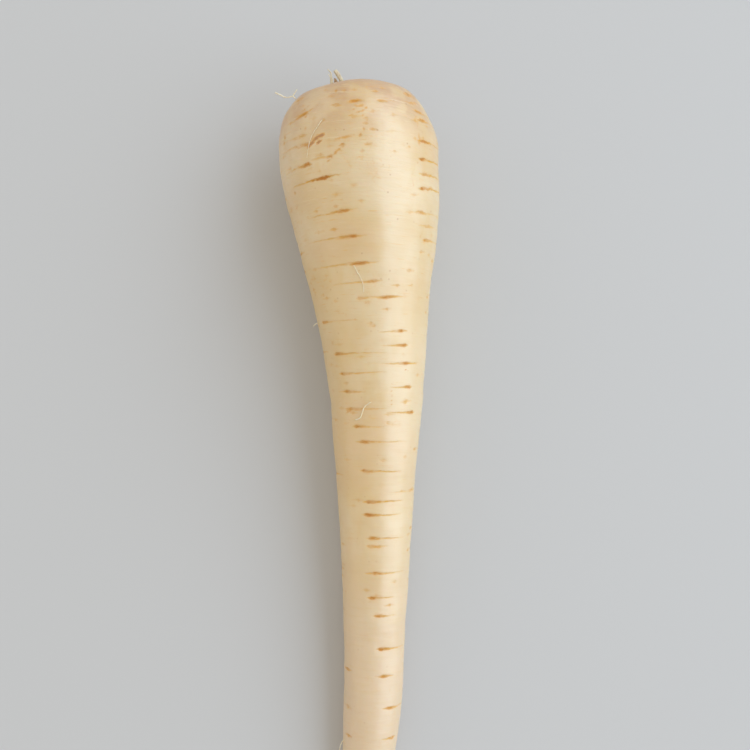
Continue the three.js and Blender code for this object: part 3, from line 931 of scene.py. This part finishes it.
def skin_zones(skin, down, patches):
    """Tones that change with the place: painted shade yellows the -X flank, painted light pales the +X flank,
    pale tail and tan rim.
    """
    side = skin.line(skin.centred(patches), 0.03, skin.sideways())
    flank_shade_band = skin.times(skin.ramp(down, *FLANK_SHADE_START), skin.ramp(down, *FLANK_SHADE_END, 1, 0))
    # Painted shade: the -X flank, away from the window light, is tinted yellower.
    skin.paint(skin.times(flank_shade_band, skin.ramp(side, -0.01, 0.01, 0.52, 0)), YELLOW_CREAM)
    flank_light_band = skin.ramp(down, *FLANK_LIGHT_START)
    # Painted light: the +X flank, which faces the window light, is tinted paler.
    skin.paint(skin.times(flank_light_band, skin.ramp(side, 0.004, 0.018, 0, 0.6)), PALE_CREAM)
    skin.paint(skin.ramp(down, *TAIL_ZONE, 0, 0.9), TAIL_CREAM)
    near_rim = skin.ramp(down, *RIM_ZONE, 0.95, 0)
    skin.paint(skin.times(near_rim, skin.ramp(patches, 0.38, 0.62, 0.35, 1)), CROWN_TAN)
    # The tan band along the rim's edge is partly the crown's own tan and partly painted shade where the rim
    # turns away from the light.
    skin.paint(skin.ramp(down, *RIM_LINE, 0.45, 0), CROWN_TAN)


def skin_hollow(skin, down, patches, crumbs):
    """The brown crumbly floor of the hollow, with paler torn edges of leaf bases and a ragged border."""
    scar, _ = skin.field("leaf_scar")
    floor = skin.blend(skin.ramp(crumbs, 0.35, 0.7, 0, 0.5), HOLLOW_BROWN, SCAR_TAN)
    edges = skin.line(skin.centred(crumbs), 0.9, scar)
    floor = skin.blend(skin.ramp(edges, 0.25, 0.9), floor, SCAR_TAN)
    border = skin.line(skin.centred(patches), 9, down)
    border = skin.line(skin.centred(crumbs), 4, border)
    skin.paint(skin.ramp(border, *HOLLOW_BORDER, 0.95, 0), floor)


def skin_lines(skin, down, crumbs, rings, at_crown):
    """Fine lines: yellowish rings, broken ochre hairlines, pale scuffs round the root (painted sheen streaks
    near the crown), scribbles.
    """
    skin.paint(skin.ramp(rings, 0.5, 0.72, 0, 0.2), YELLOW_CREAM)

    threads = skin.ramp(skin.noise(105, 3, 0.6, (1, 16, 1)), 0.6, 0.7)
    fewer_below = skin.ramp(down, *HAIRLINE_ZONE, 0.4, 0.15)
    skin.paint(skin.times(threads, skin.ramp(crumbs, 0.4, 0.58), fewer_below), OCHRE)

    # Pale scuffs round the root, and near the crown also painted sheen: pale streaks that stand for wet
    # highlight.
    scuffs_and_sheen_streaks = skin.ramp(skin.noise(95, 3, 0.6, (1, 12, 1)), 0.6, 0.7)
    skin.paint(skin.times(scuffs_and_sheen_streaks, skin.line(at_crown, 0.55, 0.15)), PALE_CREAM)

    winding = skin.math("ABSOLUTE", skin.centred(skin.noise(110, 3, 0.6)))
    thin = skin.ramp(winding, 0.004, 0.02, 1, 0)
    regions = skin.ramp(skin.noise(47, 2, 0.5), 0.54, 0.64)
    broken = skin.ramp(crumbs, 0.42, 0.6)
    skin.paint(skin.times(thin, regions, broken, skin.line(at_crown, 0.12, 0.12)), OCHRE)


def skin_stains(skin, crumbs):
    """Ochre stains with ragged edges, brown where they are strong. Returns how stained a point is."""
    stain, _ = skin.field("stain")
    ragged = skin.line(skin.centred(crumbs), 2, stain)
    filled = skin.math("MULTIPLY", stain, 1.5, clamp=True)
    stained = skin.times(skin.ramp(ragged, 0.25, 0.75, 0, 0.88), filled)
    skin.paint(stained, STAIN_OCHRE)
    skin.paint(skin.ramp(ragged, 0.8, 1.15, 0, 0.75), STAIN_BROWN)
    return stained


def skin_pores(skin, at_crown):
    """Every layer of pore marks: an ochre glow, an ochre line and a brown eye. Returns how pitted it is."""
    across = skin.ramp(skin.noise(640, 3, 0.65, (1, 5, 1)), 0.3, 0.6, 0.45, 1)
    broken = skin.ramp(skin.noise(230, 2, 0.5, (1, 1.6, 1)), 0.34, 0.56, 0.45, 1.1)
    grain = skin.times(across, broken)
    wobble = skin.times(skin.centred(skin.noise(430, 3, 0.65)), skin.line(at_crown, 0.9, 0.7))
    pitted = 0
    for layer in range(1, PORE_LAYERS + 1):
        ochre, dark, glow = pore_tones(skin, layer, grain, wobble)
        skin.paint(skin.times(glow, 0.26), OCHRE)
        skin.paint(skin.math("MULTIPLY", ochre, 0.95, clamp=True), OCHRE)
        skin.paint(skin.math("MULTIPLY", dark, 1.05, clamp=True), EYE_BROWN)
        pitted = skin.math("MAXIMUM", pitted, ochre)
    return pitted


def skin_specks(skin, down):
    """Scattered brown specks, most of them near the crown."""
    spot, random = skin.cells(330)
    chosen = skin.ramp(random, 0.64, 0.72)
    more = skin.ramp(down, *SPECK_ZONE, 1, 0.3)
    skin.paint(skin.times(skin.ramp(spot, 0.06, 0.17, 1, 0), chosen, more, 0.55), SPECK_BROWN)


def skin_gloss(skin, down, grain, pitted, stained):
    """A satin skin that lets a little light in; duller on the tail, the marks and the stains."""
    rough = skin.line(grain, 0.04, SKIN_ROUGHNESS)
    rough = skin.math("ADD", rough, skin.ramp(down, *DULL_ZONE, 0, 0.05))
    rough = skin.line(pitted, 0.6, rough)
    rough = skin.line(stained, 0.3, rough)
    rough = skin.math("ADD", rough, skin.ramp(down, *MATT_HOLLOW, 0.7, 0))
    skin.give("Roughness", rough)
    skin.give("Specular IOR Level", 1)
    skin.give("IOR", 1.62)
    skin.give("Subsurface Weight", 0.2)
    skin.give("Subsurface Radius", (1, 0.62, 0.3))
    skin.give("Subsurface Scale", 0.002)


def skin_finish():
    """
    Washed parsnip skin: cream clouds and zones with painted shade and painted light on its two flanks, the
    brown hollow, and fine lines, painted sheen streaks, stains, pore marks and specks over them, with a soft
    sheen and bumps of lumps, ridges, grain, crumbs and pits.
    """
    skin = Finish("parsnip_skin", CREAM)
    down, _ = skin.field("down_from_rim")
    patches = skin.noise(125, 2, 0.5)
    crumbs = skin.noise(420, 4, 0.7)
    grain = skin.noise(900, 3, 0.6)
    rings = skin.noise(110, 3, 0.5, (1, 7, 1))
    at_crown = skin.ramp(down, *CROWN_ZONE, 1, 0)

    skin_clouds(skin)
    skin_zones(skin, down, patches)
    skin_hollow(skin, down, patches, crumbs)
    skin_lines(skin, down, crumbs, rings, at_crown)
    stained = skin_stains(skin, crumbs)
    pitted = skin_pores(skin, at_crown)
    skin_specks(skin, down)
    skin.give("Base Color", skin.tone)
    skin_gloss(skin, down, grain, pitted, stained)

    in_hollow = skin.ramp(down, *HOLLOW_EDGE, 1, 0)
    surface = skin.bump(skin.noise(42, 1, 0.4), LUMP_DEPTH)
    surface = skin.bump(skin.times(rings, skin.line(at_crown, 2, 1)), RIDGE_DEPTH, surface)
    surface = skin.bump(grain, GRAIN_DEPTH, surface)
    surface = skin.bump(skin.times(crumbs, in_hollow), CRUMB_DEPTH, surface)
    surface = skin.bump(skin.math("SUBTRACT", 1, pitted), PIT_DEPTH, surface)
    skin.give("Normal", surface)
    return skin.material


def dried_finish(name, light, shade, rough):
    """A dry fibre: light and darker streaks along it, brown blotches, matt, with a fibrous bump."""
    finish = Finish(name, light)
    fibres = finish.noise(700, 3, 0.6, (3, 0.5, 3))
    finish.paint(finish.ramp(fibres, 0.4, 0.7), shade)
    finish.paint(finish.ramp(finish.noise(260, 3, 0.6), 0.58, 0.8, 0, 0.5), STAIN_BROWN)
    finish.give("Base Color", finish.tone)
    finish.give("Roughness", rough)
    finish.give("Subsurface Weight", 0.1)
    finish.give("Subsurface Radius", (1, 0.6, 0.3))
    finish.give("Subsurface Scale", 0.001)
    finish.give("Normal", finish.bump(fibres, FIBRE_DEPTH))
    return finish.material


# --- Stage ---

CAMERA_HEIGHT = 0.38
CAMERA_STATION = 139.2 * MM  # the camera stands over this station of the root
CAMERA_TILT = 5.0  # degrees towards the crown
CAMERA_LENS, FILM_WIDTH = 44.7, 36.0

PANEL_DISTANCE = 2.4
PANEL_LENGTH = 6.0  # along the root
PANEL_SHIFT = 1.4  # towards the crown
UPPER_PANEL = (43.5, 1.81, 52)  # degrees from straight up towards +X, width, and watts
LOWER_PANEL = (76, 1.02, 25)
FILL_PANEL = (-66, 1.7, 9.5)
WINDOW_TINT = (0.76, 0.875, 1.0)
FILL_TINT = (1.0, 0.86, 0.66)
AIR_STRENGTH = 0.63
FLOOR_HALF = 12.0
FLOOR_GAP = 0.00005  # keeps the floor from lying in the plane of the skin's flat patches


def place_camera():
    """A camera that looks down on the root, slightly towards its crown."""
    data = bpy.data.cameras.new("overhead_camera")
    data.lens = CAMERA_LENS
    data.sensor_width = FILM_WIDTH
    data.clip_start, data.clip_end = 0.01, 50
    camera = add_object("overhead_camera", data)
    camera.location = (ROOT_SHIFT[0] * MM, ROOT_SHIFT[1] * MM - CAMERA_STATION, CAMERA_HEIGHT)
    camera.rotation_euler = (math.radians(CAMERA_TILT), 0, 0)
    bpy.context.scene.camera = camera


def place_light(name, tilt, width, power, tint):
    """A long panel of light, tilted towards +X and turned to the root, that no camera sees."""
    data = bpy.data.lights.new(name, "AREA")
    data.shape = "RECTANGLE"
    data.size, data.size_y = PANEL_LENGTH, width
    data.energy = power
    data.color = tint
    light = add_object(name, data)
    tilt = math.radians(tilt)
    way = Vector((math.sin(tilt), 0, math.cos(tilt)))
    light.location = way * PANEL_DISTANCE + Vector((0, PANEL_SHIFT, 0))
    light.rotation_euler = way.to_track_quat("Z", "Y").to_euler()
    light.visible_camera = False


def plain_stage():
    """A pale matt floor, a long window on the right, a weak warm fill on the left, and warm air."""
    mesh = bpy.data.meshes.new("pale_floor")
    corners = [(-1, -1), (1, -1), (1, 1), (-1, 1)]
    points = [(x * FLOOR_HALF, y * FLOOR_HALF, -FLOOR_GAP) for x, y in corners]
    mesh.from_pydata(points, [], [(0, 1, 2, 3)])
    floor = add_object("pale_floor", mesh)
    finish = Finish("pale_floor", FLOOR_GREY)
    finish.give("Base Color", finish.tone)
    finish.give("Roughness", 0.8)
    mesh.materials.append(finish.material)

    place_light("upper_window", *UPPER_PANEL, WINDOW_TINT)
    place_light("lower_window", *LOWER_PANEL, WINDOW_TINT)
    place_light("warm_fill", *FILL_PANEL, FILL_TINT)

    world = bpy.data.worlds.new("soft_air")
    bpy.context.scene.world = world
    world.use_nodes = True
    background = world.node_tree.nodes["Background"]
    background.inputs["Color"].default_value = WARM_AIR
    background.inputs["Strength"].default_value = AIR_STRENGTH
    bpy.context.scene.view_settings.view_transform = "Standard"


# --- The object ---

place_camera()
plain_stage()

parsnip_skin = skin_finish()
dried_stalk = dried_finish("dried_stalk", STRAW, STRAW_SHADE, 0.75)
stalk_base = dried_finish("stalk_base", BARK, BARK_SHADE, 0.85)
rootlet_fibre = dried_finish("rootlet_fibre", FIBRE, FIBRE_SHADE, 0.6)

place_piece(taproot(), parsnip_skin, "taproot")
leaf_stalks(dried_stalk, stalk_base)
rootlets(rootlet_fibre)
